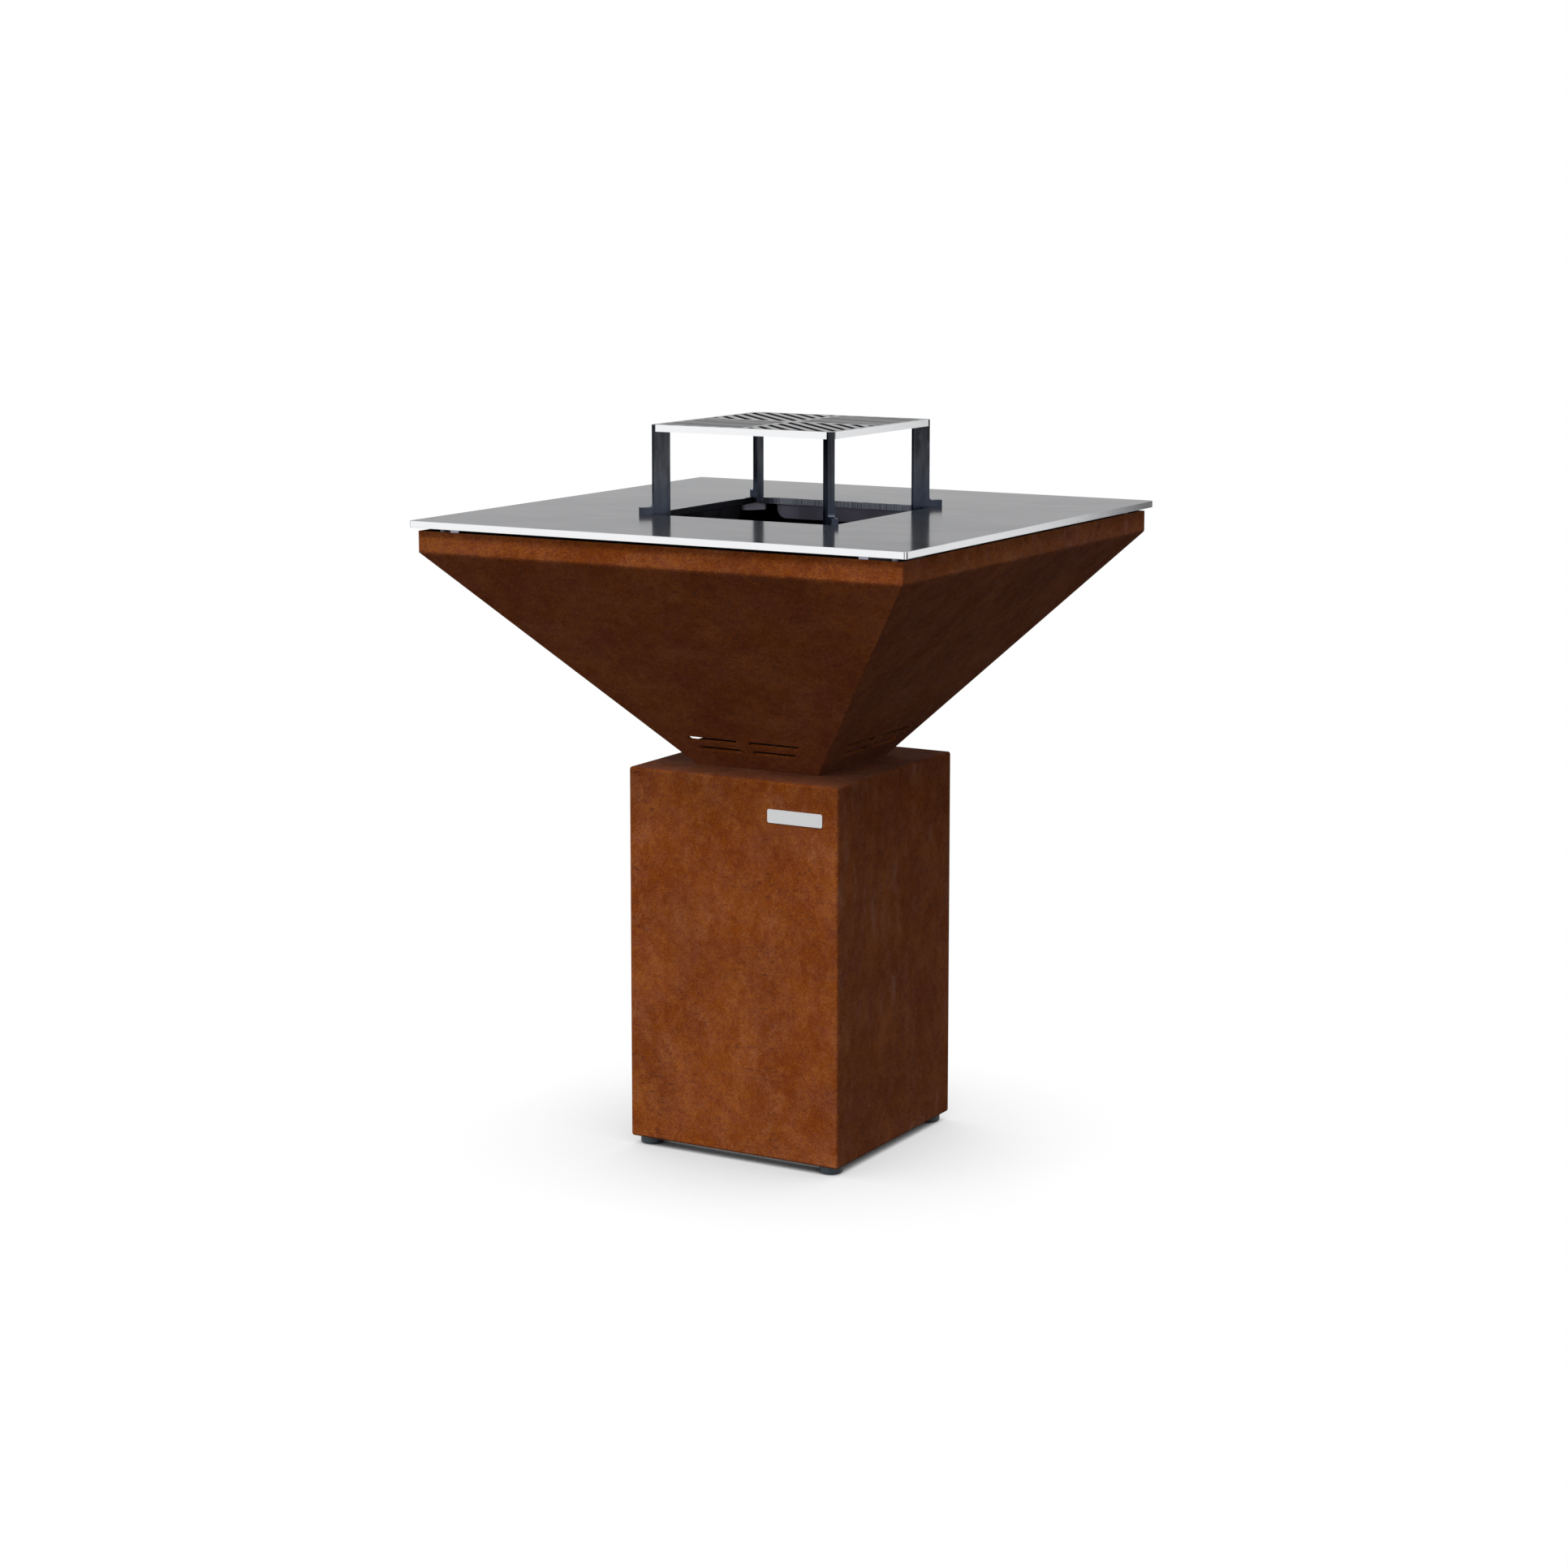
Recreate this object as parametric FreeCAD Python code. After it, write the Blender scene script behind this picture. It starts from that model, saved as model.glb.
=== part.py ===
# Square fire pit: a box pedestal on levelling feet, a four-sided bowl, a thick cooking plate
# with a fire hole, and a grate that stands on four legs over the hole.
# Millimetres. +Z is up, the origin is the centre of the footprint at floor level, and the
# pedestal's front, with the nameplate, faces -Y.

import FreeCAD, Part
import math
import os

from FreeCAD import Vector

# ---- Levelling feet ----
foot_diameter = 34.5
foot_height = 12.0
foot_inset = 23.0               # foot axis in from the pedestal's faces
stud_diameter = 10.0            # M10
stud_length = 33.0              # above its head
stud_head_flats = 16.0
stud_head_height = 6.4          # sunk in the pad, flush with its top
stud_clearance = 0.1            # radial, in the weld nut
weld_nut_flats = 17.0
weld_nut_height = 8.0

# ---- Pedestal ----
pedestal_side = 350.0
pedestal_height = 556.0
pedestal_sheet = 3.0
pedestal_bend = 4.0             # outside radius of the folded edges
flange_beyond_foot = 20.0       # bottom flange reaches this far past the foot axis
nameplate_length = 90.0
nameplate_height = 20.0
nameplate_thickness = 1.5
nameplate_corner = 3.0
nameplate_side_inset = 25.0
nameplate_drop = 40.0           # from the pedestal's top down to the nameplate

# ---- Bowl ----
bowl_base_side = 208.0
bowl_slope_rise = 324.0         # from the base up to the fold
bowl_rim_height = 31.0          # straight band above the fold
bowl_sheet = 4.0
bowl_fold = 9.0                 # outside radius of the fold
bowl_weld_flat = 2.0            # width of the dressed weld down each corner
slot_height = 9.0               # along the slope
slot_pitch = 20.0
slot_first = 35.0               # base edge up the slope to the lowest slot
slot_rows = 2
slot_bridge = 20.0              # between the left and right slots
slot_ridge_inset = 51.0         # slot end in from the corner, across
drain_diameter = 25.0

# ---- Bolts between bowl and pedestal, M8 ----
bolt_diameter = 8.0
bolt_hole_diameter = 9.0
bolt_inset = 34.0               # bolt axis in from the bowl's base edges
bolt_head_flats = 13.0
bolt_head_height = 5.3
bolt_overrun = 4.0              # thread left past the nut
nut_flats = 14.0
nut_height = 6.5
washer_diameter = 16.0
washer_thickness = 1.6
washer_clearance = 0.2          # radial, round the bolt

# ---- Cooking plate ----
plate_side = 800.0
plate_thickness = 10.0
plate_corner = 5.0
plate_edge_break = 0.5
plate_overhang = 9.5            # past the bowl's rim
air_gap = 5.0                   # between the rim and the plate
hole_side = 310.0
rib_height = 21.0
rib_thickness = 6.0
rib_setback = 2.0               # rib face back from the edge of the hole
rib_end_inset = 39.0            # rib ends short of the hole's corners
rib_corner = 15.0
block_length = 38.0
block_depth = 12.0
block_height = 10.5
block_corner = 2.5              # cut off each upright edge

# ---- Rest bars in the rim's corners, and the pins that locate the plate on them ----
rest_cut_off = 58.0             # rim corner to where the bar's outer face meets the rim
rest_thickness = 10.0
rest_height = 25.0
pin_diameter = 8.0
pin_length = 18.0
pin_clearance = 1.0

# ---- Cooking grate and its legs ----
grate_inset = 4.0               # grate faces in from the faces of the hole
grate_thickness = 10.0
grate_lift = 120.0              # plate top up to the grate's underside
grate_border = 9.0
grate_cross = 10.0
grate_slot = 9.5
grate_pitch = 20.0
leg_thickness = 10.0
leg_width = 25.0
leg_lip = 4.4                   # lip that stands up in the grate's corner notch
leg_lip_proud = 1.0             # lip out past the mouth of the notch
leg_lip_drop = 0.2              # lip top below the grate's top
leg_notch_clearance = 0.2       # each side of the lip
leg_foot_height = 10.0
leg_foot_reach = 15.3           # foot out past the nose
leg_fillet = 5.0
leg_nose_depth = 5.0            # nose down into the corner of the hole
leg_nose_clearance = 0.3
leg_edge_break = 0.5
notch_mouth_round = 1.2

# ---- Ember grate ----
ember_pass_gap = 5.0            # clearance each side as it lifts through the hole
ember_thickness = 8.0
ember_seat_gap = 0.3
ember_leg_gap = 11.0            # cut corners pass the legs with this gap
ember_border = 22.0
ember_slot = 12.0
ember_pitch = 24.0
ember_spine = 20.0              # solid strip down the middle

# ---- Levels ----
pedestal_bottom = foot_height
pedestal_top = pedestal_bottom + pedestal_height
fold_level = pedestal_top + bowl_slope_rise
rim_top = fold_level + bowl_rim_height
plate_bottom = rim_top + air_gap
plate_top = plate_bottom + plate_thickness
grate_bottom = plate_top + grate_lift
grate_top = grate_bottom + grate_thickness

# ---- Half widths and the slope of the bowl ----
pedestal_half = pedestal_side / 2
foot_axis = pedestal_half - foot_inset
underside_half = foot_axis - flange_beyond_foot
base_half = bowl_base_side / 2
rim_half = plate_side / 2 - plate_overhang
rim_inner_half = rim_half - bowl_sheet
hole_half = hole_side / 2
grate_half = hole_half - grate_inset
slope = math.atan2(bowl_slope_rise, rim_half - base_half)
slope_width = bowl_sheet / math.sin(slope)      # wall of the slope, measured level

# ---- Distances from the centre line along a diagonal ----
root2 = math.sqrt(2.0)
notch_width = leg_thickness + 2 * leg_notch_clearance
nose_reach = (hole_half - leg_nose_clearance) * root2 - leg_thickness / 2
notch_mouth = grate_half * root2 - notch_width / 2
leg_outside = notch_mouth + leg_lip_proud
leg_inside = leg_outside - leg_width
foot_reach = nose_reach + leg_foot_reach
rest_outside = rim_half * root2 - rest_cut_off / root2

CORNERS = ("front_right", "back_right", "back_left", "front_left")
SIDES = ("front", "right", "back", "left")
UP = Vector(0, 0, 1)


def block(low, high):
    """Box between two opposite corners."""
    size = Vector(*high) - Vector(*low)
    return Part.makeBox(size.x, size.y, size.z, Vector(*low))


def square_block(half, bottom, top):
    """Square box centred on the Z axis."""
    return block((-half, -half, bottom), (half, half, top))


def prism(points, along):
    """Solid swept from a flat outline along a vector."""
    outline = Part.makePolygon([Vector(*p) for p in points + [points[0]]])
    return Part.Face(outline).extrude(Vector(*along))


def taper(*rings):
    """Solid of square section about the Z axis, with flat walls between (half width, level) pairs."""
    outlines = []
    for half, level in rings:
        corners = [Vector(sx * half, sy * half, level) for sx, sy in ((-1, -1), (1, -1), (1, 1), (-1, 1))]
        outlines.append(Part.makePolygon(corners + corners[:1]))
    return Part.makeLoft(outlines, True, True)


def rod(diameter, bottom, top, x=0.0, y=0.0):
    """Upright cylinder."""
    return Part.makeCylinder(diameter / 2, top - bottom, Vector(x, y, bottom))


def hexagon(flats, bottom, top, x, y):
    """Upright hexagonal prism, as for a nut."""
    radius = flats / math.sqrt(3.0)
    points = [
        (x + radius * math.cos(math.radians(60 * n)), y + radius * math.sin(math.radians(60 * n)), bottom)
        for n in range(6)
    ]
    return prism(points, (0, 0, top - bottom))


def turned(shape, degrees):
    """Copy of a shape turned about the Z axis."""
    copy = shape.copy()
    copy.rotate(Vector(0, 0, 0), UP, degrees)
    return copy


def edges_along(shape, direction):
    """Straight edges of a shape that run along a direction."""
    found = []
    for edge in shape.Edges:
        if isinstance(edge.Curve, Part.Line) and abs(abs(edge.Curve.Direction.dot(direction)) - 1) < 1e-6:
            found.append(edge)
    return found


def on_diagonal(profile):
    """Flat of leg thickness, standing in the vertical plane of the front-right diagonal.
    The profile's first number runs out from the centre line and its second is the level."""
    half = leg_thickness / 2
    solid = prism([(reach, -half, level) for reach, level in profile], (0, leg_thickness, 0))
    return turned(solid, -45)


def corner_spots(inset):
    """The four points at plus and minus one distance in X and Y, front right first."""
    return ((inset, -inset), (inset, inset), (-inset, inset), (-inset, -inset))


# ---- Levelling feet: moulded pad round the head of a hexagon bolt ----

def foot_pad(x, y):
    """Round pad with a hexagonal seat for the stud's head in its top."""
    seat = hexagon(stud_head_flats, foot_height - stud_head_height, foot_height, x, y)
    return rod(foot_diameter, 0, foot_height, x, y).cut(seat)


def foot_stud(x, y):
    """Hexagon bolt, head down, as a plain rod without its thread."""
    head = hexagon(stud_head_flats, foot_height - stud_head_height, foot_height, x, y)
    return head.fuse(rod(stud_diameter, foot_height, foot_height + stud_length, x, y)).removeSplitter()


def foot_weld_nuts():
    """Four hexagonal nuts welded on the inside of the bottom flange."""
    bottom = pedestal_bottom + pedestal_sheet
    top = bottom + weld_nut_height
    bore = stud_diameter + 2 * stud_clearance
    return [hexagon(weld_nut_flats, bottom, top, x, y).cut(rod(bore, bottom, top, x, y))
            for x, y in corner_spots(foot_axis)]


# ---- Pedestal: one folded shell, closed on top, with a flange turned in round the underside ----

def pedestal_shell():
    skin = square_block(pedestal_half, pedestal_bottom, pedestal_top)
    skin = skin.makeFillet(pedestal_bend, skin.Edges)
    inner_half = pedestal_half - pedestal_sheet
    hollow = square_block(inner_half, pedestal_bottom + pedestal_sheet, pedestal_top - pedestal_sheet)
    hollow = hollow.makeFillet(pedestal_bend - pedestal_sheet, edges_along(hollow, UP))
    underside = square_block(underside_half, pedestal_bottom, pedestal_bottom + pedestal_sheet)
    foot_hole = stud_diameter + 4 * stud_clearance
    holes = [rod(foot_hole, pedestal_bottom, pedestal_bottom + pedestal_sheet, x, y)
             for x, y in corner_spots(foot_axis)]
    holes += [rod(bolt_hole_diameter, pedestal_top - pedestal_sheet, pedestal_top, x, y)
              for x, y in corner_spots(base_half - bolt_inset)]
    holes.append(rod(drain_diameter, pedestal_top - pedestal_sheet, pedestal_top))
    return skin.cut([hollow, underside] + holes)


def nameplate():
    """Bare plate with rounded corners on the front of the pedestal."""
    right = pedestal_half - nameplate_side_inset
    top = pedestal_top - nameplate_drop
    plate = block((right - nameplate_length, -pedestal_half - nameplate_thickness, top - nameplate_height),
                  (right, -pedestal_half, top))
    return plate.makeFillet(nameplate_corner, edges_along(plate, Vector(0, 1, 0)))


# ---- Bowl: four folded panels, mitred and welded along the corners, on a flat floor ----

def bowl_half(level):
    """Half width over the outside of the slope at a level."""
    return base_half + (level - pedestal_top) / math.tan(slope)


def weld_form():
    """Square tower turned to the diagonals, which takes the sharp edge off the welded corners."""
    low = pedestal_top - bowl_sheet
    high = rim_top + bowl_sheet
    dressed = bowl_weld_flat / 2
    return turned(taper((bowl_half(low) * root2 - dressed, low),
                        (rim_half * root2 - dressed, fold_level),
                        (rim_half * root2 - dressed, high)), 45)


def bowl_section():
    """Section of a folded panel in the YZ plane: straight rim, fold, slope."""
    turn = math.pi / 2 - slope      # angle of the fold
    inner_fold = bowl_fold - bowl_sheet
    # the outer surfaces meet at the fold level, and both radii share one centre inside
    set_back = bowl_fold * math.tan(turn / 2)
    centre_y = -rim_half + bowl_fold
    centre_z = fold_level + set_back

    def fold_point(radius, share):
        angle = turn * share
        return Vector(0, centre_y - radius * math.cos(angle), centre_z - radius * math.sin(angle))

    outer_base = Vector(0, -base_half, pedestal_top)
    inner_base = Vector(0, -base_half + slope_width, pedestal_top)
    outer_rim = Vector(0, -rim_half, rim_top)
    inner_rim = Vector(0, -rim_inner_half, rim_top)
    edges = [
        Part.LineSegment(outer_rim, fold_point(bowl_fold, 0)).toShape(),
        Part.Arc(fold_point(bowl_fold, 0), fold_point(bowl_fold, 0.5), fold_point(bowl_fold, 1)).toShape(),
        Part.LineSegment(fold_point(bowl_fold, 1), outer_base).toShape(),
        Part.LineSegment(outer_base, inner_base).toShape(),
        Part.LineSegment(inner_base, fold_point(inner_fold, 1)).toShape(),
        Part.Arc(fold_point(inner_fold, 1), fold_point(inner_fold, 0.5), fold_point(inner_fold, 0)).toShape(),
        Part.LineSegment(fold_point(inner_fold, 0), inner_rim).toShape(),
        Part.LineSegment(inner_rim, outer_rim).toShape(),
    ]
    return Part.Face(Part.Wire(edges))


def air_slots():
    """Cutters for one panel's air slots. A slot ends upright beside the middle bridge, and
    along the corner of the bowl at its other end."""
    up_slope = Vector(0, -math.cos(slope), math.sin(slope))
    outward = Vector(0, -math.sin(slope), -math.cos(slope))
    start = Vector(0, -base_half, pedestal_top) - outward * (2 * bowl_sheet)
    cutters = []
    for row in range(slot_rows):
        low = slot_first + row * slot_pitch
        high = low + slot_height
        low_end = base_half + low * math.cos(slope) - slot_ridge_inset
        high_end = base_half + high * math.cos(slope) - slot_ridge_inset
        for side in (-1, 1):
            outline = ((slot_bridge / 2, low), (low_end, low), (high_end, high), (slot_bridge / 2, high))
            points = [tuple(start + up_slope * along + Vector(side * across, 0, 0)) for across, along in outline]
            cutters.append(prism(points, tuple(outward * (4 * bowl_sheet))))
    return cutters


def bowl_panel():
    """The front panel, cut to a mitre at both ends."""
    sheet = bowl_section().extrude(Vector(2 * rim_half, 0, 0))
    sheet.translate(Vector(-rim_half, 0, 0))
    reach = 2 * rim_half
    wedge = prism([(0, 0, pedestal_top), (-reach, -reach, pedestal_top), (reach, -reach, pedestal_top)],
                  (0, 0, rim_top - pedestal_top))
    return sheet.common(wedge).common(weld_form()).cut(air_slots())


def bowl_floor():
    """Floor plate with edges bevelled to the slope, bolt holes and a drain."""
    top = pedestal_top + bowl_sheet
    floor = taper((bowl_half(pedestal_top) - slope_width, pedestal_top), (bowl_half(top) - slope_width, top))
    holes = [rod(bolt_hole_diameter, pedestal_top, top, x, y) for x, y in corner_spots(base_half - bolt_inset)]
    holes.append(rod(drain_diameter, pedestal_top, top))
    return floor.cut(holes)


# ---- Fasteners between bowl and pedestal: head and washer in the bowl, and a nut welded
# ---- under the pedestal's top ----

floor_top = pedestal_top + bowl_sheet
head_bottom = floor_top + washer_thickness
nut_top = pedestal_top - pedestal_sheet
nut_bottom = nut_top - nut_height


def bowl_bolt(x, y):
    head = hexagon(bolt_head_flats, head_bottom, head_bottom + bolt_head_height, x, y)
    return head.fuse(rod(bolt_diameter, nut_bottom - bolt_overrun, head_bottom, x, y)).removeSplitter()


def bowl_washer(x, y):
    disc = rod(washer_diameter, floor_top, head_bottom, x, y)
    return disc.cut(rod(bolt_diameter + 2 * washer_clearance, floor_top, head_bottom, x, y))


def bowl_nut(x, y):
    nut = hexagon(nut_flats, nut_bottom, nut_top, x, y)
    return nut.cut(rod(bolt_diameter, nut_bottom, nut_top, x, y))


# ---- Rest bars and locating pins ----

def rest_bar():
    """Flat on edge across the front-right corner of the rim, its ends meeting both walls."""
    half_length = rim_inner_half * root2 - rest_outside + rest_thickness
    bar = block((rest_outside - rest_thickness, -half_length, plate_bottom - rest_height),
                (rest_outside, half_length, plate_bottom))
    return turned(bar, -45).common(square_block(rim_inner_half, plate_bottom - rest_height, plate_bottom))


def locating_pin():
    """Peg under the plate, just outside the middle of a rest bar."""
    reach = rest_outside + pin_clearance + pin_diameter / 2
    return turned(rod(pin_diameter, plate_bottom - pin_length, plate_bottom, reach), -45)


# ---- Cooking plate with its ribs and corner blocks ----

def cooking_plate():
    """Thick square plate with a sharp-cornered hole and lightly broken edges."""
    plate = square_block(plate_side / 2, plate_bottom, plate_top)
    plate = plate.makeFillet(plate_corner, edges_along(plate, UP))
    plate = plate.cut(square_block(hole_half, plate_bottom, plate_top))
    level_edges = [e for e in plate.Edges if e.BoundBox.ZLength < plate_thickness / 2]
    return plate.makeChamfer(plate_edge_break, level_edges)


def plate_rib():
    """Flat on edge under the plate along the front of the hole, rounded at its lower corners."""
    half = hole_half - rib_end_inset
    face = -hole_half - rib_setback
    rib = block((-half, face - rib_thickness, plate_bottom - rib_height), (half, face, plate_bottom))
    lower = [e for e in edges_along(rib, Vector(0, 1, 0)) if e.BoundBox.ZMax < plate_bottom - rib_height / 2]
    return rib.makeFillet(rib_corner, lower)


def corner_block():
    """Small block under the plate across the front-right corner of the hole."""
    inner = hole_half * root2
    solid = block((inner, -block_length / 2, plate_bottom - block_height),
                  (inner + block_depth, block_length / 2, plate_bottom))
    return turned(solid.makeChamfer(block_corner, edges_along(solid, UP)), -45)


# ---- Cooking grate on its legs ----

def grate_leg():
    """Laser-cut flat: nose in the corner of the hole, foot on the plate, shelf and lip for
    the grate."""
    shelf = grate_bottom
    lip_inside = leg_outside - leg_lip
    foot_top = plate_top + leg_foot_height
    leg = on_diagonal([
        (leg_inside, plate_top - leg_nose_depth),
        (nose_reach, plate_top - leg_nose_depth),
        (nose_reach, plate_top),
        (foot_reach, plate_top),
        (foot_reach, foot_top),
        (leg_outside, foot_top),
        (leg_outside, grate_top - leg_lip_drop),
        (lip_inside, grate_top - leg_lip_drop),
        (lip_inside, shelf),
        (leg_inside, shelf),
    ])
    across = Vector(1, 1, 0).normalize()
    inner_corner = Vector(leg_outside / root2, -leg_outside / root2, foot_top)
    root = [e for e in edges_along(leg, across) if (e.CenterOfMass - inner_corner).Length < leg_edge_break]
    leg = leg.makeFillet(leg_fillet, root)
    outer_foot = [e for e in edges_along(leg, UP)
                  if abs(e.CenterOfMass.dot(Vector(1, -1, 0)) / root2 - foot_reach) < leg_edge_break]
    return leg.makeChamfer(leg_edge_break, outer_foot)


def grate_slots():
    """Cutters for the front-right quarter: slots side by side, all along that quarter's
    diagonal, and cut off square to the frame."""
    inner = grate_cross / 2
    outer = grate_half - grate_border
    quarter = block((inner, -outer, grate_bottom), (outer, -inner, grate_top))
    reach = (outer - inner) / root2     # how far the quarter spreads to each side of its diagonal
    count = int((reach - grate_slot / 2) / grate_pitch + 0.5)
    cutters = []
    for n in range(count):
        for side in (-1, 1):
            middle = side * (n + 0.5) * grate_pitch
            strip = block((0, middle - grate_slot / 2, grate_bottom),
                          (outer * root2, middle + grate_slot / 2, grate_top))
            cutters.append(turned(strip, -45).common(quarter))
    return cutters


def cooking_grate():
    plate = square_block(grate_half, grate_bottom, grate_top)
    cutters = []
    notch_inside = leg_outside - leg_lip - leg_notch_clearance
    notch = turned(block((notch_inside, -notch_width / 2, grate_bottom),
                         (grate_half * root2, notch_width / 2, grate_top)), -45)
    for quarter in range(4):
        cutters.append(turned(notch, 90 * quarter))
        cutters += [turned(slot, 90 * quarter) for slot in grate_slots()]
    plate = plate.cut(cutters)
    mouth = []
    for edge in edges_along(plate, UP):
        middle = edge.CenterOfMass
        if max(abs(middle.x), abs(middle.y)) > grate_half - 0.01:
            mouth.append(edge)
    return plate.makeFillet(notch_mouth_round, mouth)


# ---- Ember grate: lies in the taper of the bowl, above the air slots ----

ember_half = hole_half - ember_pass_gap
ember_bottom = pedestal_top + (ember_half - base_half + slope_width) * math.tan(slope) + ember_seat_gap


def ember_grate():
    """Square plate with cut corners and two rows of straight slots."""
    top = ember_bottom + ember_thickness
    plate = square_block(ember_half, ember_bottom, top)
    cut = (leg_inside - ember_leg_gap) * root2
    limit = block((-cut / root2, -cut / root2, ember_bottom), (cut / root2, cut / root2, top))
    plate = plate.common(turned(limit, 45))
    slot_end = ember_half - ember_border
    count = int((slot_end - ember_slot / 2) / ember_pitch)
    cutters = []
    for n in range(-count, count + 1):
        middle = n * ember_pitch
        # the slots beside the cut corners are shorter
        end = min(slot_end, cut - abs(middle) - ember_slot / 2 - ember_border)
        for side in (-1, 1):
            near = side * ember_spine / 2
            far = side * end
            slot = block((middle - ember_slot / 2, min(near, far), ember_bottom),
                         (middle + ember_slot / 2, max(near, far), top))
            cutters.append(slot)
    return plate.cut(cutters)


# ---- All sub-parts by name ----

parts = {
    "pedestal_shell": [pedestal_shell()],
    "foot_weld_nuts": foot_weld_nuts(),
    "nameplate": [nameplate()],
    "bowl_floor": [bowl_floor()],
    "bowl_bolts": [bowl_bolt(x, y) for x, y in corner_spots(base_half - bolt_inset)],
    "bowl_washers": [bowl_washer(x, y) for x, y in corner_spots(base_half - bolt_inset)],
    "bowl_nuts": [bowl_nut(x, y) for x, y in corner_spots(base_half - bolt_inset)],
    "cooking_plate": [cooking_plate()],
    "locating_pins": [turned(locating_pin(), 90 * n) for n in range(4)],
    "cooking_grate": [cooking_grate()],
    "ember_grate": [ember_grate()],
}
for n, side in enumerate(SIDES):
    parts["bowl_panel_" + side] = [turned(bowl_panel(), 90 * n)]
    parts["plate_rib_" + side] = [turned(plate_rib(), 90 * n)]
for n, corner in enumerate(CORNERS):
    spot = corner_spots(foot_axis)[n]
    parts["foot_pad_" + corner] = [foot_pad(*spot)]
    parts["foot_stud_" + corner] = [foot_stud(*spot)]
    parts["rest_bar_" + corner] = [turned(rest_bar(), 90 * n)]
    parts["corner_block_" + corner] = [turned(corner_block(), 90 * n)]
    parts["grate_leg_" + corner] = [turned(grate_leg(), 90 * n)]

os.makedirs("parts", exist_ok=True)
for name, shapes in parts.items():
    solids = [solid for shape in shapes for solid in shape.Solids]
    whole = solids[0] if len(solids) == 1 else Part.makeCompound(solids)
    whole.exportStep("parts/" + name + ".step")
    print(name, len(solids), "valid" if whole.isValid() else "INVALID", round(whole.Volume))
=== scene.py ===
# Square fire pit of weathering steel, with a thick steel cooking plate round the fire hole and
# a grate on four legs over it. Metres, in the frame of the construction: +Z is up and the front
# faces -Y. After the camera and the studio, the sections follow the fire pit from the ground up.

import math

import bpy
from mathutils import Matrix, Vector


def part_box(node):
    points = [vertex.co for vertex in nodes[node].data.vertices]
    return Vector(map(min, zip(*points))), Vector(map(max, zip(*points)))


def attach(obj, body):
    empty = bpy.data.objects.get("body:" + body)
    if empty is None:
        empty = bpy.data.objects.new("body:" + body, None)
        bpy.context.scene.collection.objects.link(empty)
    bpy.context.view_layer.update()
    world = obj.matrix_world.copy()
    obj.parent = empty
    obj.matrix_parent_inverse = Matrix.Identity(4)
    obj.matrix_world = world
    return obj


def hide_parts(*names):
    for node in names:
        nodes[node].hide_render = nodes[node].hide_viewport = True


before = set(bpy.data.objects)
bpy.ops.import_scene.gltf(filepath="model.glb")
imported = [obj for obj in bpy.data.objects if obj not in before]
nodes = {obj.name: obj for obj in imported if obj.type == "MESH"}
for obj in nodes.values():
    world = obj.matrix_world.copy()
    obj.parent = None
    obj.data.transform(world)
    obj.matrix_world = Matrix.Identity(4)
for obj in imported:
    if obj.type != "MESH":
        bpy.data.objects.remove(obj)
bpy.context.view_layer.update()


# ---- Camera: at standing height to the right of the front, looking a little down, with a long
# ---- lens and a frame that is shifted down, which keeps the upright edges nearly parallel.

camera_place = (2.3814, -4.1565, 1.4182)
camera_turn = math.radians(29.954)      # round to the right of the front
camera_pitch = math.radians(7.767)      # down from level

bpy.ops.object.camera_add(location=camera_place, rotation=(math.pi / 2 - camera_pitch, 0, camera_turn))
camera = bpy.context.object
camera.data.sensor_width = 36.0
camera.data.lens = 75.3
camera.data.shift_y = -0.1
bpy.context.scene.camera = camera
bpy.context.scene.view_settings.view_transform = "Standard"


# ---- Studio: a white floor that runs into a white room, both dim where they only light the
# ---- steel. Soft lamps stand high in front and to the left and a weak one low in front, and
# ---- low black flags round the fire pit are mirrored by its shiny steel alone.

class Shade:
    """One output of a material's nodes. Sums and products of shades add their Math nodes."""

    def __init__(self, tree, socket):
        self.tree = tree
        self.socket = socket

    def node(self, kind, inputs, output=0, **settings):
        """Adds a node: its settings first, then the numbers or links of its sockets."""
        made = self.tree.nodes.new(kind)
        for setting, value in settings.items():
            setattr(made, setting, value)
        for key, value in inputs.items():
            if isinstance(value, Shade):
                self.tree.links.new(value.socket, made.inputs[key])
            else:
                made.inputs[key].default_value = value
        return Shade(self.tree, made.outputs[output])

    def maths(self, operation, first, second):
        return self.node("ShaderNodeMath", {0: first, 1: second}, operation=operation)

    def __add__(self, other):
        return self.maths("ADD", self, other)

    def __sub__(self, other):
        return self.maths("SUBTRACT", self, other)

    def __rsub__(self, other):
        return self.maths("SUBTRACT", other, self)

    def __mul__(self, other):
        return self.maths("MULTIPLY", self, other)

    def __abs__(self):
        return self.maths("ABSOLUTE", self, 0.0)

    __radd__ = __add__
    __rmul__ = __mul__

    def larger(self, other):
        return self.maths("MAXIMUM", self, other)

    def colour(self, off, on):
        """Mixes two colours, with this as the share of the second."""
        return self.node("ShaderNodeMix", {0: self, 6: off, 7: on}, output=2, data_type="RGBA")

    def feeds(self, socket):
        """Links this to a socket of the material's surface shader."""
        self.tree.links.new(self.socket, self.tree.nodes["Principled BSDF"].inputs[socket])


def share(pattern, low, high):
    """Goes from 0 to 1 as a pattern goes from a low to a high value, eased at both ends."""
    return pattern.node("ShaderNodeMapRange", {"Value": pattern, "From Min": low, "From Max": high},
                        interpolation_type="SMOOTHSTEP")


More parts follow.
